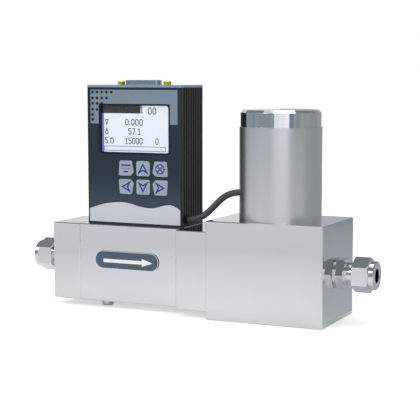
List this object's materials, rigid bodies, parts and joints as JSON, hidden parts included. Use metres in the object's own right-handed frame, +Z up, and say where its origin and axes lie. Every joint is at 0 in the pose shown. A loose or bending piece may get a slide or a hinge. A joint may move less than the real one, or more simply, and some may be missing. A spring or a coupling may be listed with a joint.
{
  "type": "gas mass flow meter",
  "caption": "Gas mass flow meter with a stainless flow body, compression tube fittings, a display housing with keys and a D connector, and a round can with a solenoid valve.",
  "frame": {"origin": "at floor level under the middle of the whole part, midway between the ends of the two tube nuts", "axes": "+X along the gas flow from inlet to outlet, -Y towards the front with the display, +Z up"},
  "size_m": [0.2372, 0.058, 0.1471],
  "materials": {
    "steel": "smooth ground stainless steel",
    "steel_fitting": "turned and milled stainless steel",
    "steel_can": "satin turned steel",
    "steel_cap": "polished turned steel",
    "screw": "plain steel screws",
    "magnet_steel": "soft magnetic stainless steel",
    "sintered": "sintered metal",
    "seal": "black sealing rubber",
    "housing": "black anodised aluminium extrusion",
    "top": "bright anodised",
    "label": "printed plastic front sheet, dark blue and grey",
    "window": "clear pane",
    "display": "lit display module",
    "key": "grey-blue plastic keys",
    "board": "green circuit board",
    "dome": "spring dome sheet",
    "shell": "tinned pressed steel",
    "insulator": "black plastic",
    "gold": "gold plated",
    "jack": "yellow passivated",
    "copper": "enamelled copper wire",
    "bobbin": "natural plastic",
    "cable": "dark grey cable sheath",
    "bush": "black rubber",
    "arrow_plate": "blue-grey plate with a pale bevelled rim",
    "foot": "dark foot on a threaded stud"
  },
  "bodies": {
    "meter": {"inlet_end_plate": "steel", "flow_body": "steel", "adapter_plate": "steel", "valve_block": "steel", "end_plate_screws": "screw", "adapter_screws": "screw", "flange_screws": "screw", "block_seals": "seal", "level_feet": "foot", "inlet_fitting_body": "steel_fitting", "outlet_fitting_body": "steel_fitting", "inlet_nut": "steel_fitting", "outlet_nut": "steel_fitting", "front_ferrules": "steel_fitting", "back_ferrules": "steel_fitting", "inlet_filter_screen": "sintered", "laminar_flow_element": "steel", "flow_arrow_plate": "arrow_plate", "base_plate": "housing", "base_plate_screws": "screw", "housing_shell": "housing", "housing_screws": "screw", "top_plate": "top", "top_plate_screws": "screw", "front_label": "label", "lcd_window": "window", "lcd_module": "display", "display_board": "board", "key_dome_sheet": "dome", "main_board": "board", "connector_shell": "shell", "connector_insulator": "insulator", "connector_pins": "gold", "jack_screws": "jack", "sensor_base": "steel", "sensor_seals": "seal", "sensor_tube": "steel_fitting", "sensor_windings": "copper", "sensor_cover": "top", "core_tube": "magnet_steel", "core_tube_seal": "seal", "valve_seat": "steel_fitting", "plunger_spring": "steel_fitting", "coil_base_ring": "magnet_steel", "coil_bobbin": "bobbin", "coil_winding": "copper", "coil_nut": "screw", "valve_can": "steel_can", "can_cap": "steel_cap", "housing_cable_bush": "bush", "can_cable_bush": "bush", "signal_cable": "cable"},
    "key_menu": {"key_menu": "key"},
    "key_up": {"key_up": "key"},
    "key_exit": {"key_exit": "key"},
    "key_left": {"key_left": "key"},
    "key_down": {"key_down": "key"},
    "key_right": {"key_right": "key"},
    "plunger": {"plunger": "magnet_steel", "plunger_seal": "seal"}
  },
  "joints": [
    {"name": "press_menu", "type": "slide", "parent": "meter", "child": "key_menu", "axis": [0, 1, 0], "range_m": [0, 0.0005], "stiffness_N_per_m": 1500},
    {"name": "press_up", "type": "slide", "parent": "meter", "child": "key_up", "axis": [0, 1, 0], "range_m": [0, 0.0005], "stiffness_N_per_m": 1500},
    {"name": "press_exit", "type": "slide", "parent": "meter", "child": "key_exit", "axis": [0, 1, 0], "range_m": [0, 0.0005], "stiffness_N_per_m": 1500},
    {"name": "press_left", "type": "slide", "parent": "meter", "child": "key_left", "axis": [0, 1, 0], "range_m": [0, 0.0005], "stiffness_N_per_m": 1500},
    {"name": "press_down", "type": "slide", "parent": "meter", "child": "key_down", "axis": [0, 1, 0], "range_m": [0, 0.0005], "stiffness_N_per_m": 1500},
    {"name": "press_right", "type": "slide", "parent": "meter", "child": "key_right", "axis": [0, 1, 0], "range_m": [0, 0.0005], "stiffness_N_per_m": 1500},
    {"name": "valve_lift", "type": "slide", "parent": "meter", "child": "plunger", "axis": [0, 0, 1], "range_m": [0, 0.0006], "stiffness_N_per_m": 1500, "deforming": ["plunger_spring"]}
  ]
}
